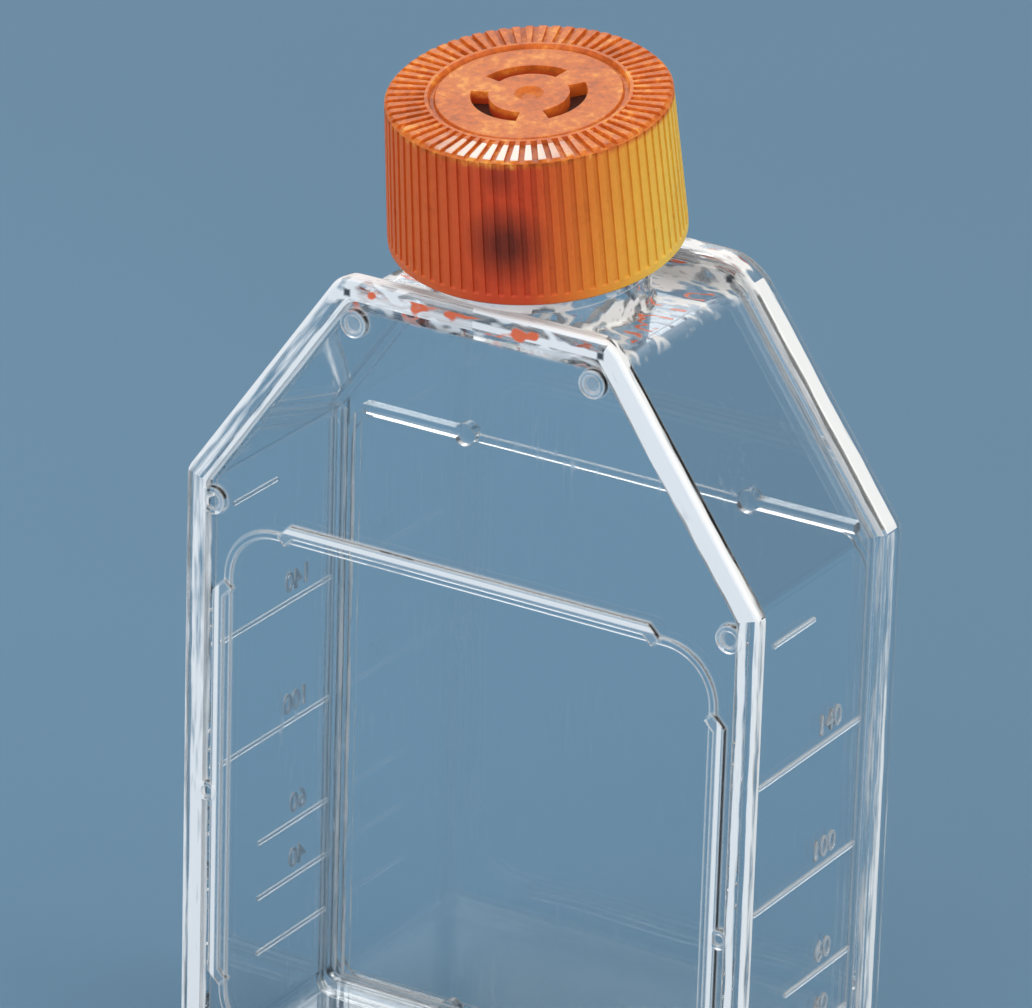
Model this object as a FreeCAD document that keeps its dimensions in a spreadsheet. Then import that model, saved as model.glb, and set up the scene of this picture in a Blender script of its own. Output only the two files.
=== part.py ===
import FreeCAD, Part
import math
import os

import Sketcher

# Cell culture flask of the 75 cm2 class with a canted neck and a vented screw cap.
#
# The flask stands on its end: +Z up, +X to the right, -Y towards the front panel and +Y towards
# the growth plate. The origin is the middle of the growth plate's foot, which is level with the
# foot of the front rim. All lengths are millimetres and all angles are degrees.
#
# Pieces: flask_shell (front panel, walls and neck, moulded as one), growth_plate (welded to the
# back of the shell), cap (moulded with ribs, vents and thread) and vent_membrane (a disc under
# the vents of the cap).

SIZES = {
    # outline shared by the front rim and the growth plate
    "body_width": 82.0,
    "body_depth": 36.4,
    "shoulder_height": 86.6,
    "top_height": 117.4,
    "top_width": 38.2,
    "base_corner_radius": 3.2,
    "shoulder_corner_radius": 3.0,
    "top_corner_radius": 4.0,
    "edge_rounding": 0.6,
    # front rim and panel
    "rim_depth": 2.2,
    "rim_band": 3.0,
    "panel_drop": 0.8,
    "panel_thickness": 1.5,
    # walls between the rim and the growth plate
    "wall_inset": 2.0,
    "end_inset": 3.3,
    "wall_thickness": 1.5,
    "wall_corner_radius": 2.4,
    # weld flange of the shell
    "flange_inset": 1.2,
    "flange_thickness": 0.8,
    "weld_seam": 0.03,
    # growth plate
    "plate_top_radius": 8.0,
    "plate_rim_depth": 4.75,
    "plate_rim_band": 2.0,
    "plate_thickness": 1.6,
    "plate_back_rounding": 1.2,
    # stacking rib on the front panel, set in from the outline
    "front_rib_side_gap": 6.1,
    "front_rib_top_gap": 6.2,
    "front_rib_bottom": 9.0,
    "front_rib_radius": 7.0,
    "front_rib_width": 0.9,
    "front_rib_height": 0.4,
    # taller bars along the rib, bent in at their ends
    "stack_bar_offset": 1.15,
    "stack_bar_corner_gap": 9.2,
    "stack_bar_width": 1.5,
    "stack_bar_height": 0.8,
    "stack_bar_bend": 1.7,
    # stacking rib on the back of the growth plate, set in from the outline
    "back_rib_side_gap": 3.7,
    "back_rib_top_gap": 1.3,
    "back_rib_bottom": 3.7,
    "back_rib_radius": 5.0,
    "back_rib_width": 1.0,
    "back_rib_height": 0.6,
    "back_bar_corner_gap": 2.1,
    "back_bar_length": 15.2,
    "back_bar_width": 1.4,
    "back_bar_height": 1.6,
    "back_boss_radius": 1.5,
    # round moulding marks near the corners and sides of the front panel
    "top_mark_side_gap": 2.2,
    "top_mark_drop": 6.0,
    "shoulder_mark_side_gap": 4.0,
    "shoulder_mark_drop": 3.4,
    "side_mark_side_gap": 3.7,
    "mark_radius": 1.8,
    "side_mark_radius": 1.3,
    "mark_dimple_share": 0.6,
    "mark_dimple_depth": 0.35,
    "mark_height": 0.95,
    # raised graduation lines on the side walls
    "line_width": 0.5,
    "line_relief": 0.3,
    "line_front_gap": 3.0,
    "line_rear_gap": 0.3,
    "short_line_length": 16.2,
    "top_line_front_gap": 5.3,
    "top_line_length": 10.0,
    # canted neck
    "neck_tilt": 9.55,
    "neck_root_offset": 0.4,
    "neck_bore_radius": 11.8,
    "neck_wall": 1.7,
    "neck_root_rounding": 0.6,
    "collar_height": 1.1,
    "collar_start": 5.4,
    "collar_width": 2.2,
    "lip_chamfer": 0.5,
    # screw thread
    "thread_pitch": 4.0,
    "thread_turns": 1.5,
    "cap_thread_turns": 1.25,
    "thread_root_width": 1.5,
    "thread_crest_width": 0.7,
    "thread_height": 1.3,
    "thread_clearance": 0.4,
    "thread_drop": 10.1,
    # cap
    "cap_seat": 8.6,
    "cap_wall": 3.1,
    "cap_side_taper": 0.85,
    "cap_height": 19.3,
    "cap_top_thickness": 2.0,
    "cap_band": 1.2,
    "cap_edge_chamfer": 0.5,
    "rib_height": 0.25,
    "rib_width": 0.8,
    "rib_count": 72,
    "notch_length": 4.85,
    "notch_depth": 0.45,
    "notch_foot": 0.12,
    "notch_width": 0.75,
    "notch_count": 64,
    "groove_inset": 5.7,
    "groove_width": 0.9,
    "groove_depth": 0.6,
    "top_recess": 0.25,
    "dimple_radius": 1.8,
    "dimple_depth": 0.5,
    "seal_width": 0.8,
    "seal_height": 0.5,
    "seal_clearance": 0.15,
    # vents in the top of the cap
    "vent_count": 3,
    "vent_outer_radius": 7.1,
    "vent_inner_radius": 4.9,
    "vent_span": 88.0,
    "vent_turn": 4.5,
    # membrane under the vents
    "membrane_radius": 9.0,
    "membrane_thickness": 0.25,
    "membrane_gap": 0.05,
    "membrane_side_gap": 0.15,
    "membrane_ring_width": 0.7,
    "membrane_ring_height": 0.5,
}

# Heights of the graduation lines as shares of the shoulder's height above the foot.
LONG_LINES = (0.519, 0.716)
SHORT_LINES = (0.168, 0.259, 0.35)
TOP_LINES = (0.925,)

EMBED = 0.3       # how far an added rib reaches into the surface that carries it
CUT_SPARE = 2.0   # how far a cut runs past the face that it opens
TOLERANCE = 0.02

Vector = FreeCAD.Vector


class Size:
    """A length that knows its number and the spreadsheet expression that gives it."""

    def __init__(self, number, text):
        self.number = number
        self.text = text

    def _joined(self, other, sign, number):
        return Size(number, f"({self.text} {sign} {as_size(other).text})")

    def __add__(self, other):
        return self._joined(other, "+", self.number + as_size(other).number)

    def __sub__(self, other):
        return self._joined(other, "-", self.number - as_size(other).number)

    def __mul__(self, other):
        return self._joined(other, "*", self.number * as_size(other).number)

    def __truediv__(self, other):
        return self._joined(other, "/", self.number / as_size(other).number)

    def __neg__(self):
        return Size(-self.number, f"(0 - {self.text})")


def as_size(value):
    return value if isinstance(value, Size) else Size(float(value), repr(float(value)))


def fill_sheet(doc):
    """Writes every size into the spreadsheet and returns the sheet's values by name."""
    sheet = doc.addObject("Spreadsheet::Sheet", "Sizes")
    for row, (alias, value) in enumerate(SIZES.items(), start=1):
        sheet.set(f"A{row}", alias)
        sheet.set(f"B{row}", str(value))
        sheet.setAlias(f"B{row}", alias)
    doc.recompute()
    return {alias: Size(float(sheet.get(alias)), f"Sizes.{alias}") for alias in SIZES}


def bind(thing, path, size):
    thing.setExpression(path, size.text)


def origin_plane(body, role):
    return next(item for item in body.Origin.OriginFeatures if item.Role == role)


def new_sketch(body, name, role, offset=None):
    """Empty sketch on one of the body's origin planes, moved along the plane's normal."""
    sketch = body.newObject("Sketcher::SketchObject", name)
    sketch.AttachmentSupport = [(origin_plane(body, role), "")]
    sketch.MapMode = "FlatFace"
    if offset is not None:
        bind(sketch, "AttachmentOffset.Base.z", offset)
    body.Document.recompute()
    return sketch


def neck_sketch(body, name, neck):
    """Empty sketch in the YZ plane whose vertical axis is the axis of the canted neck."""
    sketch = new_sketch(body, name, "YZ_Plane")
    sketch.AttachmentOffset = FreeCAD.Placement(Vector(), FreeCAD.Rotation(Vector(0, 0, 1), 1))
    bind(sketch, "AttachmentOffset.Base.x", neck["root_y"])
    bind(sketch, "AttachmentOffset.Base.y", neck["root_z"])
    bind(sketch, "AttachmentOffset.Rotation.Angle", neck["tilt"])
    body.Document.recompute()
    return sketch


def bind_point(sketch, edge, end, point):
    """Holds one end of an edge at a point given by two sizes."""
    for kind, axis, size in (("DistanceX", -2, point[0]), ("DistanceY", -1, point[1])):
        size = as_size(size)
        if size.number == 0.0:
            sketch.addConstraint(Sketcher.Constraint("PointOnObject", edge, end, axis))
            continue
        sketch.addConstraint(Sketcher.Constraint(kind, -1, 1, edge, end, size.number))
        bind(sketch, f"Constraints[{sketch.ConstraintCount - 1}]", size)


def draw_polygon(sketch, points):
    """Closed run of straight edges with every corner bound to the sheet."""
    numbers = [Vector(as_size(x).number, as_size(y).number, 0) for x, y in points]
    first = sketch.GeometryCount
    count = len(points)
    for index in range(count):
        sketch.addGeometry(Part.LineSegment(numbers[index], numbers[(index + 1) % count]), False)
    for index in range(count):
        following = first + (index + 1) % count
        sketch.addConstraint(Sketcher.Constraint("Coincident", first + index, 2, following, 1))
    for index, point in enumerate(points):
        bind_point(sketch, first + index, 1, point)


def draw_circle(sketch, centre, radius):
    x, y = as_size(centre[0]), as_size(centre[1])
    edge = sketch.GeometryCount
    sketch.addGeometry(Part.Circle(Vector(x.number, y.number, 0), Vector(0, 0, 1), radius.number), False)
    sketch.addConstraint(Sketcher.Constraint("Radius", edge, radius.number))
    bind(sketch, f"Constraints[{sketch.ConstraintCount - 1}]", radius)
    if x.number == 0.0 and y.number == 0.0:
        sketch.addConstraint(Sketcher.Constraint("Coincident", edge, 3, -1, 1))
    else:
        bind_point(sketch, edge, 3, (x, y))


def draw_rounded_rectangle(sketch, half_width, low, high, radius):
    """Upright rectangle about the vertical axis, with four equal corner arcs."""
    w, lo, hi, r = (as_size(value).number for value in (half_width, low, high, radius))
    arcs = ((w - r, hi - r, 0), (r - w, hi - r, 90), (r - w, lo + r, 180), (w - r, lo + r, 270))
    sides = (((w - r, hi), (r - w, hi)), ((-w, hi - r), (-w, lo + r)),
             ((r - w, lo), (w - r, lo)), ((w, lo + r), (w, hi - r)))
    first = sketch.GeometryCount
    for (x, y, start), (begin, end) in zip(arcs, sides):
        circle = Part.Circle(Vector(x, y, 0), Vector(0, 0, 1), r)
        arc = Part.ArcOfCircle(circle, math.radians(start), math.radians(start + 90))
        sketch.addGeometry(arc, False)
        sketch.addGeometry(Part.LineSegment(Vector(*begin, 0), Vector(*end, 0)), False)
    for corner in range(4):
        arc, side = first + 2 * corner, first + 2 * corner + 1
        following = first + (2 * corner + 2) % 8
        sketch.addConstraint(Sketcher.Constraint("Tangent", arc, 2, side, 1))
        sketch.addConstraint(Sketcher.Constraint("Tangent", side, 2, following, 1))
        sketch.addConstraint(Sketcher.Constraint("Horizontal" if corner % 2 == 0 else "Vertical", side))
        if corner:
            sketch.addConstraint(Sketcher.Constraint("Equal", first, arc))
    top, left, bottom, right = (first + 2 * corner + 1 for corner in range(4))
    for kind, edge, size in (("Radius", first, radius), ("DistanceX", right, half_width),
                             ("DistanceY", top, high), ("DistanceY", bottom, low)):
        size = as_size(size)
        ends = (edge,) if kind == "Radius" else (-1, 1, edge, 1)
        sketch.addConstraint(Sketcher.Constraint(kind, *ends, size.number))
        bind(sketch, f"Constraints[{sketch.ConstraintCount - 1}]", size)
    sketch.addConstraint(Sketcher.Constraint("DistanceX", -1, 1, left, 1, -w))
    bind(sketch, f"Constraints[{sketch.ConstraintCount - 1}]", -half_width)


def feature(body, kind, name, **properties):
    """Adds a feature, recomputes it and checks that it changed the solid the right way."""
    adds = kind not in ("Pocket", "Groove")
    before = body.Shape.Volume if body.Tip and body.Shape.Solids else 0.0
    item = body.newObject(f"PartDesign::{kind}", name)
    sizes = {path: value for path, value in properties.items() if isinstance(value, Size)}
    for path, value in properties.items():
        setattr(item, path, value.number if isinstance(value, Size) else value)
    for path, size in sizes.items():
        bind(item, path, size)
    body.Tip = item
    body.Document.recompute()
    after = item.Shape.Volume
    if kind not in ("Fillet", "Chamfer") and (after > before) != adds:
        raise RuntimeError(f"{name} changed the volume from {before:.1f} to {after:.1f}")
    return item


def round_edges(body, name, radius, wanted):
    """Fillet on every edge of the tip for which wanted(edge) is true."""
    tip = body.Tip
    edges = [f"Edge{index}" for index, edge in enumerate(tip.Shape.Edges, start=1) if wanted(edge)]
    if not edges:
        raise RuntimeError(f"{name} found no edges")
    return feature(body, "Fillet", name, Base=(tip, edges), Radius=as_size(radius))


def along_y_at(points):
    """Test for straight edges that run along Y through one of the given X, Z points."""
    places = [(as_size(x).number, as_size(z).number) for x, z in points]

    def test(edge):
        if edge.Curve.TypeId != "Part::GeomLine" or abs(edge.Curve.Direction.y) < 0.999:
            return False
        middle = edge.CenterOfMass
        return any(math.hypot(middle.x - x, middle.z - z) < TOLERANCE for x, z in places)

    return test


def both_sides(points):
    return [*points, *((-x, z) for x, z in points)]


def in_plane_y(level):
    """Test for edges that lie in one plane across Y."""

    def test(edge):
        box = edge.BoundBox
        return abs(box.YMin - level.number) < TOLERANCE and abs(box.YMax - level.number) < TOLERANCE

    return test


def round_in_plane_z(level):
    """Test for curved edges that lie in one level plane."""

    def test(edge):
        heights = [vertex.Z for vertex in edge.Vertexes]
        flat = all(abs(z - level.number) < TOLERANCE for z in (*heights, edge.CenterOfMass.z))
        return flat and edge.Curve.TypeId == "Part::GeomEllipse"

    return test


def outline(s, side_inset, end_inset):
    """Right-hand corners of the flask's outline, drawn in from its sides and its ends.

    The outline has straight sides and sloping shoulders up to a narrower top. The list runs from
    the base corner to the top corner.
    """
    half, half_top = s["body_width"] / 2, s["top_width"] / 2
    run, rise = half - half_top, s["top_height"] - s["shoulder_height"]
    slope_length = Size(math.hypot(run.number, rise.number),
                        f"sqrt({run.text} * {run.text} + {rise.text} * {rise.text})")
    normal_x, normal_z = rise / slope_length, run / slope_length
    shoulder_z = s["shoulder_height"] - side_inset * (as_size(1) - normal_x) / normal_z
    top_x = half_top - (side_inset - normal_z * end_inset) / normal_x
    return [(half - side_inset, end_inset), (half - side_inset, shoulder_z),
            (top_x, s["top_height"] - end_inset)]


def closed_outline(corners):
    return [*corners, *((-x, z) for x, z in reversed(corners))]


def prism(body, name, corners, back, length, kind="Pad", forwards=False):
    """Pad or pocket of an outline along Y, starting in the plane y = back.

    A pad grows towards +Y and a pocket cuts towards -Y, unless forwards turns it round.
    """
    sketch = new_sketch(body, f"{name}_outline", "XZ_Plane", -back)
    draw_polygon(sketch, closed_outline(corners))
    body.Document.recompute()
    towards_plus_y = (kind == "Pad") != forwards
    reverse = towards_plus_y if kind == "Pad" else not towards_plus_y
    return feature(body, kind, name, Profile=sketch, Length=length, Reversed=reverse)


def round_corners(body, name, corners, radii):
    """Rounds the corners of the last prism; radii go with the corners from base to top."""
    for index, (corner, radius) in enumerate(zip(corners, radii)):
        round_edges(body, f"{name}_rounding_{index + 1}", radius, along_y_at(both_sides([corner])))


def depth_levels(s):
    """Places along Y of the front rim's face, the growth plate's front and its back."""
    back = s["plate_rim_depth"] / 2
    return back - s["body_depth"], back - s["plate_rim_depth"], back


def build_shell(doc, s, neck):
    """Front rim and panel, walls, weld flange and neck as one moulding."""
    body = doc.addObject("PartDesign::Body", "flask_shell")
    front, plate_front, _ = depth_levels(s)
    rim_back = front + s["rim_depth"]
    panel_back = front + s["panel_drop"] + s["panel_thickness"]
    weld = plate_front - s["weld_seam"]

    rim = outline(s, as_size(0), as_size(0))
    prism(body, "front_rim", rim, front, s["rim_depth"])
    round_corners(body, "rim", rim, (s["base_corner_radius"], s["shoulder_corner_radius"],
                                     s["top_corner_radius"]))
    round_edges(body, "rim_front_edge", s["edge_rounding"], in_plane_y(front))
    round_edges(body, "rim_back_edge", s["edge_rounding"], in_plane_y(rim_back))

    walls = outline(s, s["wall_inset"], s["end_inset"])
    prism(body, "walls", walls, rim_back - EMBED, weld - rim_back + EMBED)
    round_corners(body, "walls", walls, [s["wall_corner_radius"]] * 3)

    neck_profile = neck_sketch(body, "neck_profile", neck)
    draw_polygon(neck_profile, neck_outline(s, neck))
    feature(body, "Revolution", "neck", Profile=neck_profile, ReferenceAxis=(neck_profile, ["V_Axis"]),
            Angle=360)
    round_edges(body, "neck_root", s["neck_root_rounding"], round_in_plane_z(neck["root_z"]))

    flange = outline(s, s["flange_inset"], s["flange_inset"])
    prism(body, "weld_flange", flange, weld - s["flange_thickness"], s["flange_thickness"])
    plate_corner = s["plate_top_radius"] - s["flange_inset"]
    round_corners(body, "flange", flange, (s["wall_corner_radius"], s["wall_corner_radius"],
                                           plate_corner))

    inset = s["wall_inset"] + s["wall_thickness"]
    cavity = outline(s, inset, s["end_inset"] + s["wall_thickness"])
    prism(body, "cavity", cavity, weld + CUT_SPARE, weld + CUT_SPARE - panel_back, kind="Pocket")
    round_corners(body, "cavity", cavity, [s["wall_corner_radius"] - s["wall_thickness"] / 2] * 3)

    recess = outline(s, s["rim_band"], s["rim_band"])
    prism(body, "panel_recess", recess, front, s["panel_drop"], kind="Pocket", forwards=True)
    round_corners(body, "recess", recess, [s["shoulder_corner_radius"] - s["edge_rounding"]] * 3)

    bore_profile = neck_sketch(body, "bore_profile", neck)
    draw_polygon(bore_profile, bore_outline(s, neck))
    feature(body, "Groove", "neck_bore", Profile=bore_profile, ReferenceAxis=(bore_profile, ["V_Axis"]),
            Angle=360)

    add_thread(body, neck_sketch(body, "thread_profile", neck), s, neck["radius"],
               s["thread_height"], neck["thread_start"] + s["thread_pitch"] / 2, s["thread_turns"])
    add_front_ribs(body, s, front)
    add_front_marks(body, s, front)
    add_graduations(body, s, rim_back, weld - s["flange_thickness"])
    return body


def neck_outline(s, neck):
    """Outside of the neck: a plain tube with a collar and a chamfered lip."""
    radius, step = neck["radius"], s["collar_height"]
    collar = radius + step
    collar_low = s["collar_start"]
    collar_high = collar_low + s["collar_width"]
    return [(0, neck["bottom"]), (radius, neck["bottom"]), (radius, collar_low - step / 2),
            (collar, collar_low), (collar, collar_high - step / 2), (radius, collar_high),
            (radius, neck["lip"] - s["lip_chamfer"]), (radius - s["lip_chamfer"], neck["lip"]),
            (0, neck["lip"])]


def bore_outline(s, neck):
    """Inside of the neck, from well inside the cavity to just past the lip."""
    radius, past = s["neck_bore_radius"], neck["lip"] + CUT_SPARE
    flare = radius + s["lip_chamfer"]
    low = neck["bottom"] - CUT_SPARE
    return [(0, low), (radius, low), (radius, neck["lip"] - s["lip_chamfer"]), (flare, neck["lip"]),
            (flare, past), (0, past)]


def add_thread(body, sketch, s, wall_radius, height, start, turns):
    """Right-hand helical ridge on a wall; a negative height points to the axis."""
    root, crest = s["thread_root_width"] / 2, s["thread_crest_width"] / 2
    outwards = 1 if height.number > 0 else -1
    buried = wall_radius - EMBED * outwards
    tip = wall_radius + height
    draw_polygon(sketch, [(buried, start - root), (tip, start - crest), (tip, start + crest),
                          (buried, start + root)])
    body.Document.recompute()
    feature(body, "AdditiveHelix", f"{sketch.Name}_ridge", Profile=sketch,
            ReferenceAxis=(sketch, ["V_Axis"]), Mode="pitch-turns-angle",
            Pitch=s["thread_pitch"], Turns=turns, Angle=0.0)


def add_front_ribs(body, s, front):
    """Low rounded rectangle on the front panel, with taller bent bars along its outside."""
    panel = front + s["panel_drop"]
    half = s["body_width"] / 2 - s["front_rib_side_gap"]
    high, low = s["shoulder_height"] - s["front_rib_top_gap"], s["front_rib_bottom"]
    width = s["front_rib_width"] / 2
    ring = new_sketch(body, "front_rib_ring", "XZ_Plane", -(panel + EMBED))
    draw_rounded_rectangle(ring, half + width, low - width, high + width, s["front_rib_radius"] + width)
    draw_rounded_rectangle(ring, half - width, low + width, high - width, s["front_rib_radius"] - width)
    body.Document.recompute()
    feature(body, "Pad", "front_rib", Profile=ring, Length=s["front_rib_height"] + EMBED)

    gap, offset = s["stack_bar_corner_gap"], s["stack_bar_offset"]
    middle, upright = (high + low) / 2, (high - low) / 2 - gap
    bars = new_sketch(body, "stack_bars", "XZ_Plane", -(panel + EMBED))
    for along, across in bent_bar(s, half - gap, (high - low) / 2 + offset):
        draw_polygon(bars, [(x, z + middle) for x, z in zip(along, across)])
    for along, across in bent_bar(s, upright, half + offset):
        draw_polygon(bars, [(x, z + middle) for x, z in zip(across, along)])
    body.Document.recompute()
    feature(body, "Pad", "front_bars", Profile=bars, Length=s["stack_bar_height"] + EMBED)


def bent_bar(s, reach, distance):
    """A pair of bars either side of a centre, as places along the bars and across them.

    Each bar is straight out to the given reach; its ends bend 45 degrees towards the centre.
    """
    width, bend = s["stack_bar_width"], s["stack_bar_bend"]
    cut, mitre = width * math.sqrt(0.5), width * math.tan(math.radians(22.5))
    outer = distance + width / 2
    ends = [reach - mitre, reach + bend - cut, reach + bend, reach]
    levels = [outer - width, outer - bend - cut, outer - bend, outer]
    along = [*ends, *(-end for end in reversed(ends))]
    across = [*levels, *reversed(levels)]
    return (along, across), (along, [-level for level in across])


def draw_bar(sketch, left, right, low, high):
    draw_polygon(sketch, [(left, low), (right, low), (right, high), (left, high)])


def add_front_marks(body, s, front):
    """Round pads with a dimple, just proud of the rim, near its corners and sides."""
    panel = front + s["panel_drop"]
    pad_top = panel - s["mark_height"]
    half, half_top, shoulder = s["body_width"] / 2, s["top_width"] / 2, s["shoulder_height"]
    marks = ((half_top - s["top_mark_side_gap"], s["top_height"] - s["top_mark_drop"], s["mark_radius"]),
             (half - s["shoulder_mark_side_gap"], shoulder - s["shoulder_mark_drop"], s["mark_radius"]),
             (half - s["side_mark_side_gap"], shoulder / 2, s["side_mark_radius"]))
    for index, (x, z, radius) in enumerate(marks, start=1):
        pads = new_sketch(body, f"mark_pads_{index}", "XZ_Plane", -(panel + EMBED))
        dimples = new_sketch(body, f"mark_dimples_{index}", "XZ_Plane", -pad_top)
        for side in (-x, x):
            draw_circle(pads, (side, z), radius)
            draw_circle(dimples, (side, z), radius * s["mark_dimple_share"])
        body.Document.recompute()
        feature(body, "Pad", f"marks_{index}", Profile=pads, Length=s["mark_height"] + EMBED)
        feature(body, "Pocket", f"dimples_{index}", Profile=dimples, Length=s["mark_dimple_depth"])


def add_graduations(body, s, rim_back, flange_front):
    """Raised lines on the straight part of both side walls."""
    wall = s["body_width"] / 2 - s["wall_inset"]
    end = flange_front - s["line_rear_gap"]
    top_begin = rim_back + s["top_line_front_gap"]
    spans = ((LONG_LINES, rim_back + s["line_front_gap"], end),
             (SHORT_LINES, end - s["short_line_length"], end),
             (TOP_LINES, top_begin, top_begin + s["top_line_length"]))
    half = s["line_width"] / 2
    for side, start in (("right", wall - EMBED), ("left", -wall - s["line_relief"])):
        lines = new_sketch(body, f"{side}_graduation_lines", "YZ_Plane", start)
        for shares, begin, stop in spans:
            for share in shares:
                level = s["shoulder_height"] * share
                draw_bar(lines, begin, stop, level - half, level + half)
        body.Document.recompute()
        feature(body, "Pad", f"{side}_graduations", Profile=lines, Length=s["line_relief"] + EMBED)


def build_plate(doc, s):
    """Growth plate: a flat tray whose rim stands off behind the growth surface."""
    body = doc.addObject("PartDesign::Body", "growth_plate")
    _, plate_front, back = depth_levels(s)
    edge = outline(s, as_size(0), as_size(0))
    prism(body, "plate", edge, plate_front, s["plate_rim_depth"])
    radii = (s["base_corner_radius"], s["shoulder_corner_radius"], s["plate_top_radius"])
    round_corners(body, "plate", edge, radii)
    round_edges(body, "plate_front_edge", s["edge_rounding"], in_plane_y(plate_front))
    round_edges(body, "plate_back_edge", s["plate_back_rounding"], in_plane_y(back))

    tray = outline(s, s["plate_rim_band"], s["plate_rim_band"])
    prism(body, "tray", tray, back, s["plate_rim_depth"] - s["plate_thickness"], kind="Pocket")
    round_corners(body, "tray", tray, [radius - s["plate_rim_band"] / 2 for radius in radii])

    tray_floor = plate_front + s["plate_thickness"]
    half = s["body_width"] / 2 - s["back_rib_side_gap"]
    high, low = s["shoulder_height"] - s["back_rib_top_gap"], s["back_rib_bottom"]
    width = s["back_rib_width"] / 2
    ring = new_sketch(body, "back_rib_ring", "XZ_Plane", -(tray_floor - EMBED))
    draw_rounded_rectangle(ring, half + width, low - width, high + width, s["back_rib_radius"] + width)
    draw_rounded_rectangle(ring, half - width, low + width, high - width, s["back_rib_radius"] - width)
    bars = new_sketch(body, "back_rib_bars", "XZ_Plane", -(tray_floor - EMBED))
    bosses = new_sketch(body, "back_bosses", "XZ_Plane", -(tray_floor - EMBED))
    bar = s["back_bar_width"] / 2
    outer = half - s["back_bar_corner_gap"]
    inner = outer - s["back_bar_length"]
    for level in (low, high):
        draw_bar(bars, inner, outer, level - bar, level + bar)
        draw_bar(bars, -outer, -inner, level - bar, level + bar)
        draw_circle(bosses, (inner, level), s["back_boss_radius"])
        draw_circle(bosses, (-inner, level), s["back_boss_radius"])
    body.Document.recompute()
    heights = (("back_rib", ring, s["back_rib_height"]), ("back_bars", bars, s["back_bar_height"]),
               ("bosses", bosses, s["back_bar_height"]))
    for name, sketch, height in heights:
        feature(body, "Pad", name, Profile=sketch, Length=height + EMBED, Reversed=True)
    return body


def place_on_neck(body, s, neck, distance):
    """Stands a body on the neck's axis, a distance along it from the neck's root."""
    body.Placement = FreeCAD.Placement(Vector(), FreeCAD.Rotation(Vector(1, 0, 0), 1))
    bind(body, "Placement.Rotation.Angle", neck["tilt"])
    tilt = neck["tilt"].text
    bind(body, "Placement.Base.y", Size(0, f"{neck['root_y'].text} - {distance.text} * sin({tilt})"))
    bind(body, "Placement.Base.z", Size(0, f"{neck['root_z'].text} + {distance.text} * cos({tilt})"))


def cap_outline(s, neck):
    """Half section of the cap between its ribs, from the mouth's edge outwards and up."""
    height, ceiling = s["cap_height"], neck["ceiling"]
    chamfer, rib = s["cap_edge_chamfer"], s["rib_height"]
    side, top_radius = neck["cap_radius"], neck["cap_top_radius"]
    disc = height - s["top_recess"]
    groove_out = top_radius - s["groove_inset"] + s["groove_width"] / 2
    groove_in = groove_out - s["groove_width"]
    seal_out = s["neck_bore_radius"] + (s["neck_wall"] + s["seal_width"]) / 2
    seal_in = seal_out - s["seal_width"]
    ring_in = s["membrane_radius"] + s["membrane_side_gap"]
    ring_out = ring_in + s["membrane_ring_width"]
    bore = neck["cap_bore"]
    narrow = neck["radius"] + s["thread_clearance"]
    shelf = ceiling - s["cap_top_thickness"]
    groove_floor = height - s["groove_depth"]
    outside = [(bore + chamfer, 0), (side - chamfer / 2, 0), (side, chamfer / 2),
               (side, s["cap_band"]), (side - rib, s["cap_band"] + rib),
               (top_radius - rib, height - chamfer - rib), (top_radius, height - chamfer),
               (top_radius - chamfer, height)]
    top = [(groove_out, height), (groove_out - s["groove_width"] / 4, groove_floor),
           (groove_in + s["groove_width"] / 4, groove_floor), (groove_in, disc),
           (s["dimple_radius"], disc), (s["dimple_radius"] / 2, disc - s["dimple_depth"]),
           (0, disc - s["dimple_depth"])]
    seal_foot = ceiling - s["seal_height"]
    ring_foot = ceiling - s["membrane_ring_height"]
    inside = [(0, ceiling), (ring_in, ceiling), (ring_in, ring_foot), (ring_out, ring_foot),
              (ring_out, ceiling), (seal_in, ceiling), (seal_in + EMBED / 2, seal_foot),
              (seal_out - EMBED / 2, seal_foot), (seal_out, ceiling), (narrow, ceiling),
              (narrow, shelf), (bore, shelf - (bore - narrow)), (bore, chamfer)]
    return outside + top + inside


def rib_outline(s, neck):
    """Side view of one grip rib, which runs up the side of the cap."""
    deep = s["rib_height"] + EMBED
    high = s["cap_height"] - s["cap_edge_chamfer"]
    side, top_radius = neck["cap_radius"], neck["cap_top_radius"]
    return [(side, s["cap_band"]), (top_radius, high), (top_radius - deep, high),
            (side - deep, s["cap_band"])]


def notch_outline(s, neck):
    """Side view of one notch in the top edge; its floor falls outwards and runs out of the chamfer."""
    height, depth, outer = s["cap_height"], s["notch_depth"], neck["cap_top_radius"]
    inner = outer - s["notch_length"]
    above = height + CUT_SPARE
    return [(inner, above), (inner, height - depth / 2), (inner + depth / 2, height - depth),
            (outer, height - s["cap_edge_chamfer"] + s["notch_foot"]), (outer, above)]


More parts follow.
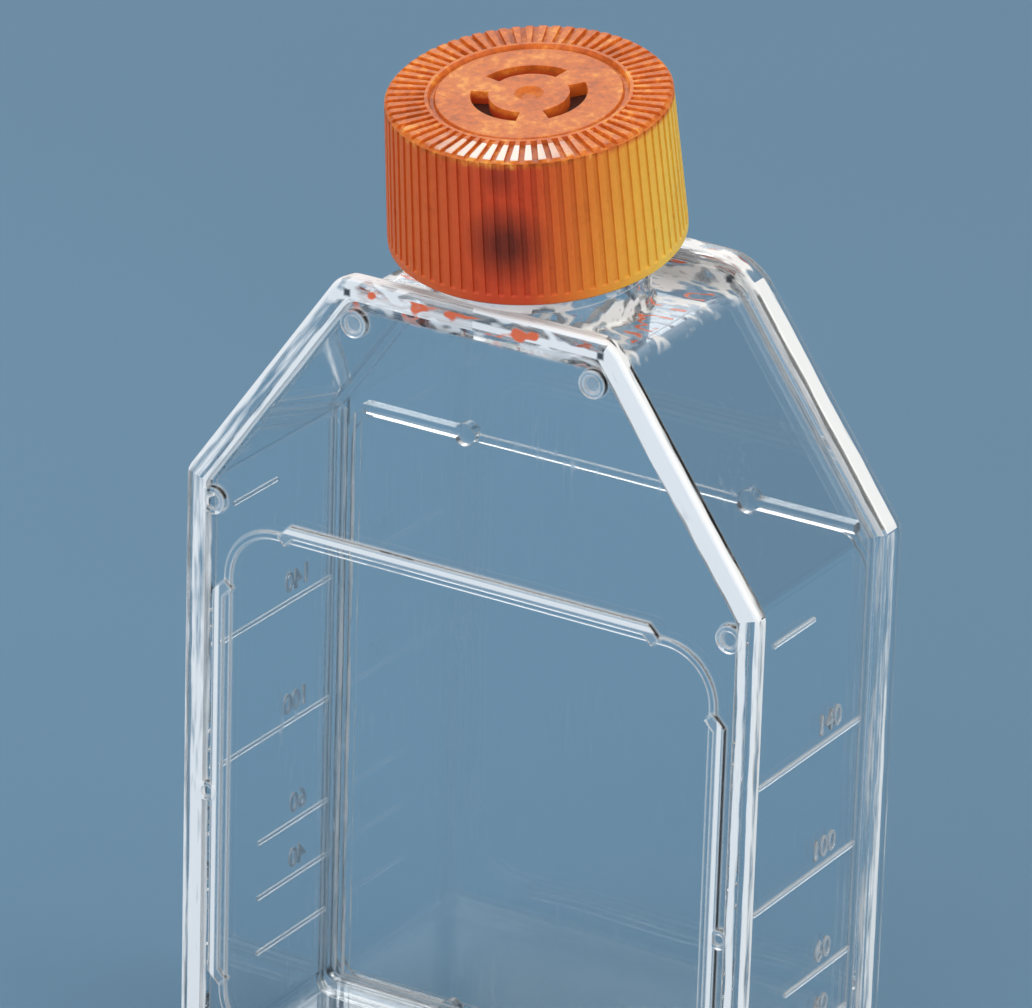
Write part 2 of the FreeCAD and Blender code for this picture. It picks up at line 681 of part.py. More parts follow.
def draw_arc_slot(sketch, inner, outer, span):
    """Ring sector about the origin, centred on the sketch's horizontal axis."""
    half = math.radians(span.number / 2)
    for radius, first in ((outer, 0), (inner, 1)):
        circle = Part.Circle(Vector(), Vector(0, 0, 1), radius.number)
        sketch.addGeometry(Part.ArcOfCircle(circle, -half, half), False)
        sketch.addConstraint(Sketcher.Constraint("Coincident", first, 3, -1, 1))
        sketch.addConstraint(Sketcher.Constraint("Radius", first, radius.number))
        bind(sketch, f"Constraints[{sketch.ConstraintCount - 1}]", radius)
    cos_half, sin_half = math.cos(half), math.sin(half)
    for line, end, sign in ((2, 1, -1), (3, 2, 1)):
        near = Vector(inner.number * cos_half, sign * inner.number * sin_half, 0)
        far = Vector(outer.number * cos_half, sign * outer.number * sin_half, 0)
        sketch.addGeometry(Part.LineSegment(near, far), False)
        sketch.addConstraint(Sketcher.Constraint("Coincident", line, 1, 1, end))
        sketch.addConstraint(Sketcher.Constraint("Coincident", line, 2, 0, end))
        sketch.addConstraint(Sketcher.Constraint("PointOnObject", -1, 1, line))
    sketch.addConstraint(Sketcher.Constraint("Symmetric", 0, 1, 0, 2, -1))
    sketch.addConstraint(Sketcher.Constraint("Angle", 2, 1, 3, 1, math.radians(span.number)))
    bind(sketch, f"Constraints[{sketch.ConstraintCount - 1}]", span)


def build_cap(doc, s, neck):
    """Vented screw cap with grip ribs, a notched top edge and a thread inside."""
    body = doc.addObject("PartDesign::Body", "cap")
    profile = new_sketch(body, "cap_profile", "XZ_Plane")
    draw_polygon(profile, cap_outline(s, neck))
    body.Document.recompute()
    feature(body, "Revolution", "cap_wall", Profile=profile, ReferenceAxis=(profile, ["V_Axis"]), Angle=360)

    vent = new_sketch(body, "vent_slot", "XY_Plane", s["cap_height"])
    vent.AttachmentOffset = FreeCAD.Placement(vent.AttachmentOffset.Base,
                                              FreeCAD.Rotation(Vector(0, 0, 1), s["vent_turn"].number))
    bind(vent, "AttachmentOffset.Rotation.Angle", s["vent_turn"])
    draw_arc_slot(vent, s["vent_inner_radius"], s["vent_outer_radius"], s["vent_span"])
    body.Document.recompute()
    slot = feature(body, "Pocket", "vent", Profile=vent, Length=s["cap_top_thickness"] + CUT_SPARE)
    repeat_round_axis(body, "vents", slot, vent, s["vent_count"])

    ridge = body.newObject("Sketcher::SketchObject", "cap_thread_profile")
    ridge.AttachmentSupport = [(origin_plane(body, "YZ_Plane"), "")]
    ridge.MapMode = "FlatFace"
    body.Document.recompute()
    add_thread(body, ridge, s, neck["cap_bore"], -s["thread_height"],
               neck["thread_start"] - s["cap_seat"], s["cap_thread_turns"])

    rib_profile = new_sketch(body, "rib_profile", "XZ_Plane")
    draw_polygon(rib_profile, rib_outline(s, neck))
    body.Document.recompute()
    rib = feature(body, "Pad", "grip_rib", Profile=rib_profile, Length=s["rib_width"], Midplane=True)
    repeat_round_axis(body, "grip_ribs", rib, vent, s["rib_count"])

    notch_profile = new_sketch(body, "notch_profile", "XZ_Plane")
    draw_polygon(notch_profile, notch_outline(s, neck))
    body.Document.recompute()
    notch = feature(body, "Pocket", "top_notch", Profile=notch_profile, Length=s["notch_width"],
                    Midplane=True)
    repeat_round_axis(body, "top_notches", notch, vent, s["notch_count"])
    place_on_neck(body, s, neck, s["cap_seat"])
    return body


def repeat_round_axis(body, name, original, sketch, count):
    """Polar pattern of a feature about the axis normal to a sketch on the XY plane."""
    before = body.Shape.Volume
    pattern = body.newObject("PartDesign::PolarPattern", name)
    pattern.Originals = [original]
    pattern.Axis = (sketch, ["N_Axis"])
    pattern.Angle = 360
    pattern.Occurrences = round(count.number)
    bind(pattern, "Occurrences", count)
    body.Tip = pattern
    body.Document.recompute()
    if abs(body.Shape.Volume - before) < TOLERANCE:
        raise RuntimeError(f"{name} changed nothing")


def build_membrane(doc, s, neck):
    """Thin filter disc held inside the ring under the vents."""
    body = doc.addObject("PartDesign::Body", "vent_membrane")
    disc = new_sketch(body, "disc", "XY_Plane")
    draw_circle(disc, (0, 0), s["membrane_radius"])
    body.Document.recompute()
    feature(body, "Pad", "membrane", Profile=disc, Length=s["membrane_thickness"])
    below = s["membrane_gap"] + s["membrane_thickness"]
    place_on_neck(body, s, neck, s["cap_seat"] + neck["ceiling"] - below)
    return body


def neck_layout(s):
    """Heights along the neck's axis from its root, and the sizes that the cap shares with it."""
    ceiling = s["cap_height"] - s["cap_top_thickness"]
    front, plate_front, _ = depth_levels(s)
    radius = s["neck_bore_radius"] + s["neck_wall"]
    cap_bore = radius + s["thread_height"] + s["thread_clearance"]
    cap_radius = cap_bore + s["cap_wall"]
    cap_top_radius = cap_radius - s["cap_side_taper"]
    return {
        "tilt": s["neck_tilt"],
        "root_y": (front + plate_front) / 2 + s["neck_root_offset"],
        "root_z": s["top_height"] - s["end_inset"],
        "bottom": -radius / 2,
        "radius": radius,
        "lip": s["cap_seat"] + ceiling - s["seal_height"] - s["seal_clearance"],
        "ceiling": ceiling,
        "cap_bore": cap_bore,
        "cap_radius": cap_radius,
        "cap_top_radius": cap_top_radius,
        "thread_start": s["cap_seat"] + ceiling - s["thread_drop"] - s["thread_pitch"] / 2,
    }


def check(doc, bodies):
    """Stops on any failed object or broken solid."""
    for item in doc.Objects:
        if "Invalid" in item.State or "Error" in item.State:
            raise RuntimeError(f"{item.Name} is {item.State}")
    for body in bodies:
        if body.Shape.isNull() or not body.Shape.isValid() or len(body.Shape.Solids) != 1:
            raise RuntimeError(f"{body.Label} isn't one valid solid")


def build():
    doc = FreeCAD.newDocument("culture_flask")
    s = fill_sheet(doc)
    neck = neck_layout(s)
    bodies = [build_shell(doc, s, neck), build_plate(doc, s), build_cap(doc, s, neck),
              build_membrane(doc, s, neck)]
    doc.recompute()
    check(doc, bodies)
    os.makedirs("parts", exist_ok=True)
    for body in bodies:
        body.Shape.exportStep(f"parts/{body.Label}.step")
        box = body.Shape.BoundBox
        print(f"{body.Label}: {body.Shape.Volume / 1000:.2f} cm3, z {box.ZMin:.2f} to {box.ZMax:.2f}")


build()
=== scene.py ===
import math

import bpy
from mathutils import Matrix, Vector


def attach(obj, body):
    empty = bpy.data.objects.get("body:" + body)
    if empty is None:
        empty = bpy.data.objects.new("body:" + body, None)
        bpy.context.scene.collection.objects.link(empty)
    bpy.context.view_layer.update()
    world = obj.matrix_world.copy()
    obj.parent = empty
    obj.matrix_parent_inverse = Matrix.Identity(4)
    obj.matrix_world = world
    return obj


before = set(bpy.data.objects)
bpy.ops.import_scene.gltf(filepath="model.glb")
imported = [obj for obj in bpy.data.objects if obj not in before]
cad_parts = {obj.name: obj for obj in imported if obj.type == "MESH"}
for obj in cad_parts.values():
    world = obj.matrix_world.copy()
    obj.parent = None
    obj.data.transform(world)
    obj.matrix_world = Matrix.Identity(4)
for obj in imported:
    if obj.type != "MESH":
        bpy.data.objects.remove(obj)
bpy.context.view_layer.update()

# Lengths and places are in the shared frame, in metres: +Z up, +X to the right, -Y to the front.
MM = 0.001

# Raised numbers: height in millimetres of the line each stands on, and the text. NUMBER_LIFT is
# the gap above the line, also in millimetres.
NUMBERED_LINES = ((22.4, "40"), (30.3, "60"), (44.9, "100"), (62.0, "140"))
NUMBER_SIZE, NUMBER_LIFT = 3.9 * MM, 1.4
NUMBER_DEPTH, NUMBER_ROUNDING, NUMBER_SEAT = 0.14 * MM, 0.04 * MM, 0.02 * MM
NUMBER_Y, SIDE_WALL = -8.525 * MM, 39.0 * MM


def socket(node, name, value):
    node.inputs[name].default_value = value


class Nodes:
    """Helpers for building one node tree."""

    def __init__(self, tree):
        self.tree = tree

    def add(self, kind, **settings):
        node = self.tree.nodes.new(kind)
        for key, value in settings.items():
            setattr(node, key, value)
        return node

    def link(self, a, b):
        self.tree.links.new(a, b)

    def ramp(self, value, stops):
        node = self.add("ShaderNodeValToRGB")
        elements = node.color_ramp.elements
        while len(elements) < len(stops):
            elements.new(0.5)
        for element, (place, color) in zip(elements, stops):
            element.position = place
            element.color = (*color, 1.0)
        self.link(value, node.inputs["Fac"])
        return node.outputs["Color"]

    def level(self, value, stops):
        """A number that follows another one, given as pairs of place and level."""
        return self.ramp(value, [(place, (level, level, level)) for place, level in stops])

    def between(self, value, low, high, start=0.0, end=1.0):
        """Goes from low to high while the value goes from start to end."""
        node = self.add("ShaderNodeMapRange")
        sockets = ("From Min", "From Max", "To Min", "To Max")
        for name, number in zip(sockets, (start, end, low, high)):
            socket(node, name, number)
        self.link(value, node.inputs["Value"])
        return node.outputs["Result"]

    def math(self, operation, a, b):
        node = self.add("ShaderNodeMath", operation=operation)
        for index, value in enumerate((a, b)):
            if isinstance(value, (int, float)):
                node.inputs[index].default_value = value
            else:
                self.link(value, node.inputs[index])
        return node.outputs["Value"]

    def plus(self, a, b):
        return self.math("ADD", a, b)

    def minus(self, a, b):
        return self.math("SUBTRACT", a, b)

    def size(self, value):
        return self.math("ABSOLUTE", value, 0.0)

    def above(self, value, limit):
        return self.math("GREATER_THAN", value, limit)

    def below(self, value, limit):
        return self.math("LESS_THAN", value, limit)

    def chain(self, operation, values):
        result = values[0]
        for value in values[1:]:
            result = self.math(operation, result, value)
        return result

    def product(self, *values):
        return self.chain("MULTIPLY", values)

    def highest(self, *values):
        return self.chain("MAXIMUM", values)

    def lowest(self, *values):
        return self.chain("MINIMUM", values)

    def blend(self, amount, first, second, mode="MIX"):
        """Mixes two colours; the amount may be a plain number and a colour a plain tuple."""
        node = self.add("ShaderNodeMix", data_type="RGBA", blend_type=mode)
        for index, value in ((0, amount), (6, first), (7, second)):
            if isinstance(value, tuple):
                node.inputs[index].default_value = (*value, 1.0)
            elif isinstance(value, float):
                node.inputs[index].default_value = value
            else:
                self.link(value, node.inputs[index])
        return node.outputs[2]


class Shader(Nodes):
    """A Principled material that is patterned by object coordinates."""

    def __init__(self, name):
        self.material = bpy.data.materials.new(name)
        self.material.use_nodes = True
        super().__init__(self.material.node_tree)
        self.tree.nodes.clear()
        self.surface = self.add("ShaderNodeBsdfPrincipled")
        output = self.add("ShaderNodeOutputMaterial")
        self.link(self.surface.outputs["BSDF"], output.inputs["Surface"])
        self.coords = self.add("ShaderNodeTexCoord").outputs["Object"]

    def feed(self, value, name):
        self.link(value, self.surface.inputs[name])

    def noise(self, scale, detail=4.0, rough=0.55, stretch=None, place=None):
        if place is None:
            place = self.coords
        if stretch:
            mapping = self.add("ShaderNodeMapping")
            socket(mapping, "Scale", stretch)
            self.link(place, mapping.inputs["Vector"])
            place = mapping.outputs["Vector"]
        node = self.add("ShaderNodeTexNoise")
        for name, value in (("Scale", scale), ("Detail", detail), ("Roughness", rough)):
            socket(node, name, value)
        self.link(place, node.inputs["Vector"])
        return node.outputs["Fac"]

    def away(self, place):
        """Distance from a point."""
        node = self.add("ShaderNodeVectorMath", operation="DISTANCE")
        self.link(self.coords, node.inputs[0])
        node.inputs[1].default_value = place
        return node.outputs["Value"]

    def split(self):
        node = self.add("ShaderNodeSeparateXYZ")
        self.link(self.coords, node.inputs["Vector"])
        return (node.outputs[axis] for axis in "XYZ")

    def edge_mask(self, radius):
        """1 along sharp edges and narrow ribs, 0 on flat faces."""
        bevel = self.add("ShaderNodeBevel", samples=2)
        socket(bevel, "Radius", radius)
        facing = self.add("ShaderNodeVectorMath", operation="DOT_PRODUCT")
        self.link(bevel.outputs["Normal"], facing.inputs[0])
        self.link(self.add("ShaderNodeNewGeometry").outputs["Normal"], facing.inputs[1])
        return self.between(facing.outputs["Value"], 1.0, 0.0, 0.9, 0.992)

    def bump(self, height, strength, distance):
        node = self.add("ShaderNodeBump")
        socket(node, "Strength", strength)
        socket(node, "Distance", distance)
        self.link(height, node.inputs["Height"])
        self.feed(node.outputs["Normal"], "Normal")


# The outline of the flask's face: half its width, where the shoulders start, its top, and the
# direction square to a shoulder.
HALF_WIDTH, SHOULDER, TOP = 0.041, 0.0866, 0.1174
SLOPE_X, SLOPE_Z = 0.8151, 0.5795
# The part of the outside that counts as a rim's outer side.
OUTER_SKIN = 0.00012

# Depths along Y of the shell's rim and of the plate's, and where the rims' front faces end.
SHELL_DEPTH, SHELL_FACE_END, SHELL_SIDE_END = (-0.0340, -0.0316), -0.03315, -0.0315
PLATE_DEPTH, PLATE_FACE_END, PLATE_RIB_START = (-0.0024, 0.0024), -0.0023, 0.0025
# Heights over which painted light fades: on the neck above the rim, and towards the foot.
NECK_FADE, LOW_FADE = (0.119, 0.122), (0.015, 0.07)

# The side walls between the rims, and the graduation lines that stand proud of them.
WALL_FRONT, WALL_TOP = -0.0312, 0.1138
LINE_PROUD, LINE_FADE = 0.03905, (-0.0045, -0.0042)

# The stacking bars on the front panel: a rectangle's half width, middle and half height.
BAR_ACROSS, BAR_MIDDLE, BAR_UP = 0.03605, 0.0447, 0.03685
BAR_FACE, BAR_FROM_OUTLINE = (-0.0339, -0.0337), 0.0045
BAR_OUTSIDE, BAR_INSIDE = (0.0004, 0.0006), (-0.0003, -0.0001)

# Heights of the flask's top around the neck's root, where painted glints go, and a painted dark
# line of shade beside it.
ROOT_FOOT, ROOT_HEAD = (0.1125, 0.114), (0.1185, 0.1195)
WARM_ACROSS, WARM_TOP = 0.0175, 0.1162
SHADE_LINE_ACROSS, SHADE_LINE_UP, SHADE_LINE_FADE = 0.0179, 0.1153, (0.0003, 0.0006)

POLYSTYRENE_IOR, POLYETHYLENE_IOR = 1.59, 1.51
# The clear plastic's tint and the white of painted light; then a painted orange reflection of the
# cap and the colour of a painted dark line of shade.
CLEAR_TINT, CAUGHT_LIGHT = (0.965, 0.985, 0.995), (0.97, 0.98, 0.99)
WARM_GLINT, SHADE_LINE_COLOR = (0.86, 0.13, 0.02), (0.01, 0.015, 0.03)

# How much painted light the rims get on their front faces, from the outline inwards over RIM_SPAN.
# The plate's left face is over PLATE_LEFT_SPAN.
RIM_SPAN, PLATE_LEFT_SPAN = (0.0, 0.004), (0.003, 0.007)
SHELL_RIGHT_FACE = ((0.0, 0.9), (0.12, 0.9), (0.17, 0.1), (0.3, 0.0), (0.36, 0.15), (0.42, 0.7),
                    (0.48, 0.97), (0.6, 0.95), (0.64, 0.5), (0.68, 0.0))
SHELL_LEFT_FACE = ((0.0, 0.4), (0.15, 0.35), (0.22, 0.1), (0.27, 0.1), (0.32, 0.5), (0.48, 0.55),
                   (0.62, 0.4), (0.7, 0.5), (0.8, 0.5), (0.86, 0.2), (0.9, 0.0))
SHELL_LEFT_SLOPE = ((0.0, 0.95), (0.12, 0.95), (0.17, 0.6), (0.26, 0.3), (0.4, 0.5), (0.5, 0.4),
                    (0.55, 0.2), (0.6, 0.4), (0.65, 0.9), (0.8, 0.95), (0.84, 0.4), (0.88, 0.0))
SHELL_RIGHT_SLOPE = ((0.0, 1.0), (0.64, 1.0), (0.7, 0.6), (0.74, 0.0))
PLATE_RIGHT_FACE = ((0.0, 0.3), (0.1, 0.3), (0.14, 0.2), (0.2, 0.35), (0.28, 0.25), (0.34, 0.0))
PLATE_RIGHT_SLOPE = ((0.0, 0.0), (0.06, 0.05), (0.1, 0.4), (0.14, 0.95), (0.24, 0.95),
                     (0.29, 0.75), (0.48, 0.75), (0.56, 0.45), (0.62, 0.7), (0.66, 0.97),
                     (0.72, 0.95), (0.77, 0.5), (0.8, 0.0))
PLATE_LEFT_FACE = ((0.0, 0.0), (0.12, 0.0), (0.16, 0.7), (0.26, 0.7), (0.3, 0.1), (0.46, 0.1),
                   (0.5, 0.65), (0.58, 0.65), (0.62, 0.0), (0.75, 0.0), (0.79, 0.45), (0.84, 0.0),
                   (1.0, 0.0))

# The same on the rims' outer sides, from front to back over their depth.
SHELL_RIGHT_SIDE = ((0.0, 0.9), (0.1, 0.85), (0.2, 0.45), (0.42, 0.5), (0.55, 0.85), (0.65, 0.97),
                    (1.0, 0.95))
SHELL_SLOPE_SIDE = ((0.0, 1.0), (0.2, 1.0), (0.32, 0.8), (0.45, 0.45), (0.58, 0.15), (0.7, 0.0))
PLATE_RIGHT_SIDE = ((0.0, 0.3), (0.13, 0.25), (0.25, 0.3), (0.36, 0.55), (0.45, 0.35), (0.5, 0.0),
                    (0.7, 0.0), (0.8, 0.2), (1.0, 0.3))
PLATE_SLOPE_SIDE = ((0.0, 0.0), (0.05, 0.0), (0.1, 0.8), (0.16, 0.95), (0.2, 1.0), (0.5, 1.0),
                    (0.58, 0.75), (0.64, 0.15), (0.68, 0.0), (0.82, 0.0), (0.87, 0.85),
                    (1.0, 0.9))


def outline_distance(s, x, z):
    """Distance from the outline of the flask's face, and 1 where the nearest side is a shoulder."""
    side = s.minus(HALF_WIDTH, s.size(x))
    slope = s.plus(s.product(side, SLOPE_X), s.product(s.minus(SHOULDER, z), SLOPE_Z))
    straight = s.math("MINIMUM", side, s.lowest(s.minus(TOP, z), z))
    return s.lowest(straight, slope), s.above(straight, slope)


def rim_streaks(s, x, y, z, distance, slope):
    """Noise drawn out along the rim: up the straight sides and down the shoulders."""
    down = s.minus(s.product(s.size(x), SLOPE_Z), s.product(z, SLOPE_X))
    along = s.plus(s.product(down, slope), s.product(z, s.minus(1.0, slope)))
    place = s.add("ShaderNodeCombineXYZ")
    s.link(distance, place.inputs["X"])
    s.link(y, place.inputs["Y"])
    s.link(s.product(along, 0.1), place.inputs["Z"])
    return s.noise(1100.0, detail=2.0, rough=0.6, place=place.outputs["Vector"])


def panel_bars(s, x, y, z, distance):
    """Painted light on the stacking bars on the front panel."""
    off_middle = s.highest(s.minus(s.size(x), BAR_ACROSS),
                           s.minus(s.size(s.minus(z, BAR_MIDDLE)), BAR_UP))
    bars = s.product(s.between(y, 1.0, 0.0, *BAR_FACE), s.above(distance, BAR_FROM_OUTLINE))
    return s.math("MULTIPLY", bars, s.product(s.between(off_middle, 0.08, 0.95, *BAR_INSIDE),
                                              s.between(off_middle, 1.0, 0.2, *BAR_OUTSIDE)))


def clear_plastic(name, back):
    """Clear moulded polystyrene with painted light: white painted into its rims, ribs and edges,
    painted glints, and on the shell a painted dark line of shade by the neck; faint waves, scuffs.
    """
    s = Shader(name)
    socket(s.surface, "IOR", POLYSTYRENE_IOR)
    x, y, z = s.split()
    distance, slope = outline_distance(s, x, z)
    streaks = rim_streaks(s, x, y, z, distance, slope)
    drift = s.noise(170.0, detail=1.0)
    wavy = s.plus(distance, s.product(s.minus(drift, 0.5), 0.0003))
    span = s.between(wavy, 0.0, 1.0, *RIM_SPAN)
    right = s.above(x, 0.0)
    left = s.minus(1.0, right)
    straight = s.minus(1.0, slope)
    low = s.between(z, 2.3, 1.1, *LOW_FADE)
    on_wall = s.product(s.above(y, WALL_FRONT), s.below(z, WALL_TOP))

    def part(side, shape, stops, along):
        return s.product(side, shape, s.level(along, stops))

    if back:
        face_zone = s.below(y, PLATE_FACE_END)
        across = s.between(y, 0.0, 1.0, *PLATE_DEPTH)
        left_span = s.between(distance, 0.0, 1.0, *PLATE_LEFT_SPAN)
        face = s.highest(s.product(low, part(right, straight, PLATE_RIGHT_FACE, span)),
                         part(right, slope, PLATE_RIGHT_SLOPE, span),
                         part(left, straight, PLATE_LEFT_FACE, left_span))
        side = s.highest(s.product(low, part(right, straight, PLATE_RIGHT_SIDE, across)),
                         part(right, slope, PLATE_SLOPE_SIDE, across))
        # Painted light on the ribs at the back of the plate.
        raised = s.product(s.above(y, PLATE_RIB_START), 0.6)
    else:
        face_zone = s.below(y, SHELL_FACE_END)
        across = s.between(y, 0.0, 1.0, *SHELL_DEPTH)
        face = s.highest(part(right, straight, SHELL_RIGHT_FACE, span),
                         part(right, slope, SHELL_RIGHT_SLOPE, span),
                         s.product(low, part(left, straight, SHELL_LEFT_FACE, span)),
                         part(left, slope, SHELL_LEFT_SLOPE, span))
        side = s.product(s.below(y, SHELL_SIDE_END),
                         s.highest(part(1.0, straight, SHELL_RIGHT_SIDE, across),
                                   part(1.0, slope, SHELL_SLOPE_SIDE, across)),
                         s.between(z, 1.0, 0.0, *NECK_FADE))
        # Painted light on the graduation lines that stand proud of the side walls.
        lines = s.product(on_wall, s.above(s.size(x), LINE_PROUD),
                          s.between(y, 0.25, 0.0, *LINE_FADE))
        raised = s.highest(panel_bars(s, x, y, z, distance), lines)

    # Intermediate painted light is broken into streaks: noise is added and the sum is cut off
    # again.
    on_side = s.below(distance, OUTER_SKIN)
    rim = s.plus(s.product(side, on_side), s.product(face, face_zone, s.minus(1.0, on_side)))
    streaky = s.plus(rim, s.product(s.minus(streaks, 0.5), 1.6))
    rim = s.product(s.between(streaky, 0.0, 0.97, 0.22, 0.72), s.between(rim, 0.0, 1.0, 0.02, 0.12))
    # Painted highlights along sharp edges and narrow ribs, weaker on the side walls.
    edges = s.product(s.edge_mask(0.0005), s.between(on_wall, 0.95, 0.5))

    # Painted glints around the neck's root: white blots, and orange ones as painted reflections of
    # the cap.
    glints = s.noise(300.0, detail=2.0, rough=0.45, stretch=(0.5, 1.0, 1.0))
    painted_white_glints = s.level(glints, ((0.5, 0.0), (0.55, 0.95), (0.62, 0.95), (0.67, 0.0)))
    neck_root = s.product(s.between(z, 0.0, 1.0, *ROOT_FOOT), s.between(z, 1.0, 0.0, *ROOT_HEAD))
    inside = s.product(s.below(s.size(x), WARM_ACROSS), s.below(z, WARM_TOP))
    painted_warm_reflection = s.product(s.level(glints, ((0.36, 0.0), (0.38, 0.95), (0.42, 0.95), (0.44, 0.0))),
                     s.product(neck_root, inside))
    # All the painted light together, as white base colour that also takes transmission away.
    white = s.highest(rim, edges, raised, painted_warm_reflection, s.product(painted_white_glints, neck_root))
    color = s.ramp(white, ((0.0, CLEAR_TINT), (0.3, CAUGHT_LIGHT)))
    color = s.blend(painted_warm_reflection, color, WARM_GLINT)
    solid = white
    if not back:
        # Painted shade: opaque dark lines along the flask's depth beside the neck's root.
        shade_line_distance = s.highest(s.size(s.minus(s.size(x), SHADE_LINE_ACROSS)), s.size(s.minus(z, SHADE_LINE_UP)))
        painted_shade_line = s.between(shade_line_distance, 0.95, 0.0, *SHADE_LINE_FADE)
        solid = s.highest(white, painted_shade_line)
        color = s.blend(painted_shade_line, color, SHADE_LINE_COLOR)
    s.feed(color, "Base Color")
    s.feed(s.minus(1.0, solid), "Transmission Weight")

    scratches = s.noise(900.0, detail=2.0, rough=0.8, stretch=(1.0, 1.0, 0.12))
    cloud = s.noise(65.0, detail=1.0, rough=0.4)
    scuff = s.product(s.between(scratches, 0.0, 1.0, 0.56, 0.75),
                      s.between(cloud, 0.0, 1.0, 0.45, 0.7))
    worn = s.product(s.between(z, 1.0, 0.0, 0.0002, 0.003),
                     s.between(scratches, 0.2, 1.0, 0.4, 0.65))
    s.feed(s.between(s.highest(scuff, worn, white), 0.008, 0.25), "Roughness")
    s.bump(cloud, 0.06, 0.0006)
    return s.material


def number_plastic(name):
    """Raised figures: clear plastic with painted light, whitish and partly opaque all over its
    small faces.
    """
    s = Shader(name)
    socket(s.surface, "IOR", POLYSTYRENE_IOR)
    grain = s.noise(1500.0, detail=3.0)
    s.feed(s.ramp(grain, ((0.35, (0.86, 0.91, 0.95)), (0.65, CAUGHT_LIGHT))), "Base Color")
    s.feed(s.between(grain, 0.6, 0.8), "Transmission Weight")
    s.feed(s.between(grain, 0.1, 0.25), "Roughness")
    return s.material


# The cap: a point on its axis and the axis's lean, the line along X and Y that its painted yellow
# glow follows, the middle of its top, and the middle of the painted glints on its notches.
CAP_ROOT, CAP_TILT = (0.0, -0.0178, 0.1141), math.radians(9.55)
CAP_MIDDLE, CAP_GLOW, CAP_GLOW_SPAN = -0.0210, (0.866, 0.5), (-0.018, 0.018)
CAP_TOP, CAP_GLINT = (0.0, -0.02243, 0.14161), (0.0054, -0.03769, 0.1383)
CAP_GLINT_FADE = (0.004, 0.010)
# Heights along the axis where the top's colour starts, and where the notches glint.
TOP_START, NOTCH_HEIGHT, NOTCH_RADIUS = (0.0265, 0.0272), 0.02775, 0.0136
# Brown shadows seen on the cap's front: place, radius and depth.
CAP_SHADOWS = (((0.0064, -0.0376, 0.1277), 0.0058, 0.85),
               ((0.0060, -0.0392, 0.1365), 0.0030, 0.45))
SHADOW_BROWN, NOTCH_GLINT = (0.10, 0.018, 0.01), (0.97, 0.88, 0.80)
SIDE_TONES_AND_PAINTED_GLOW = ((0.0, (0.74, 0.17, 0.035)), (0.2, (0.72, 0.125, 0.03)),
              (0.38, (0.66, 0.075, 0.022)), (0.5, (0.66, 0.08, 0.022)),
              (0.62, (0.76, 0.17, 0.028)), (0.72, (0.84, 0.27, 0.035)),
              (0.85, (0.92, 0.47, 0.06)), (0.96, (0.95, 0.62, 0.1)))
TOP_TONES = ((0.38, (0.46, 0.10, 0.012)), (0.46, (0.62, 0.14, 0.02)),
             (0.54, (0.72, 0.19, 0.025)), (0.62, (0.88, 0.36, 0.07)))
SPECKLES = ((0.36, (0.68, 0.52, 0.42)), (0.46, (0.93, 0.88, 0.84)), (0.6, (1.0, 1.0, 1.0)))


def orange_plastic(name):
    """Satin orange polyethylene that lets light through, with painted light: painted yellower where
    lit from behind, painted brown shadows on its front and painted glints on its notches.
    """
    s = Shader(name)
    x, y, z = s.split()
    mottle = s.noise(900.0, detail=5.0, rough=0.65)
    flow = s.noise(160.0, detail=3.0)
    tone = s.plus(s.product(mottle, 0.6), s.product(flow, 0.4))

    # Painted light: the sides go from red to yellow along one line, as if lit from the right and
    # behind.
    painted_glow_across = s.plus(s.product(x, CAP_GLOW[0]), s.product(s.minus(y, CAP_MIDDLE), CAP_GLOW[1]))
    side_tone = s.ramp(s.between(painted_glow_across, 0.0, 1.0, *CAP_GLOW_SPAN), SIDE_TONES_AND_PAINTED_GLOW)
    for place, size, depth in CAP_SHADOWS:
        shadow = s.between(s.away(place), depth, 0.0, 0.25 * size, size)
        side_tone = s.blend(shadow, side_tone, SHADOW_BROWN)
    calm = s.plus(0.5, s.product(s.minus(tone, 0.5), 0.5))
    side_tone = s.blend(1.0, side_tone, s.ramp(calm, SPECKLES), "MULTIPLY")

    along = s.minus(s.product(s.minus(z, CAP_ROOT[2]), math.cos(CAP_TILT)),
                    s.product(s.minus(y, CAP_ROOT[1]), math.sin(CAP_TILT)))
    top = s.between(along, 0.0, 1.0, *TOP_START)
    notches = s.product(s.above(s.away(CAP_TOP), NOTCH_RADIUS), s.above(along, NOTCH_HEIGHT))
    glint = s.product(s.between(s.away(CAP_GLINT), 0.95, 0.0, *CAP_GLINT_FADE), notches)
    color = s.blend(top, side_tone, s.ramp(tone, TOP_TONES))
    s.feed(s.blend(glint, color, NOTCH_GLINT), "Base Color")

    s.feed(s.between(mottle, 0.3, 0.5), "Roughness")
    for name_of_input, value in (("IOR", POLYETHYLENE_IOR), ("Specular IOR Level", 0.25),
                                 ("Subsurface Weight", 0.35), ("Subsurface Scale", 0.0012),
                                 ("Subsurface Radius", (1.0, 0.4, 0.1))):
        socket(s.surface, name_of_input, value)
    s.bump(s.noise(2600.0, detail=4.0, rough=0.6), 0.4, 0.00012)
    return s.material


def membrane_film(name):
    """Fibrous filter film, dark brown as painted shade for the deep vent slots above it."""
    s = Shader(name)
    fibres = s.noise(1800.0, detail=8.0, rough=0.75)
    s.feed(s.ramp(fibres, ((0.3, (0.05, 0.012, 0.006)), (0.7, (0.12, 0.03, 0.015)))), "Base Color")
    s.feed(s.between(fibres, 0.75, 0.95), "Roughness")
    s.bump(fibres, 0.5, 0.0001)
    return s.material


def matte(name, color):
    """A plain surface that is slightly uneven in tone."""
    s = Shader(name)
    drift = s.noise(2.5, detail=3.0)
    low = tuple(channel * 0.93 for channel in color)
    s.feed(s.ramp(drift, ((0.35, low), (0.65, color))), "Base Color")
    socket(s.surface, "Roughness", 0.85)
    return s.material


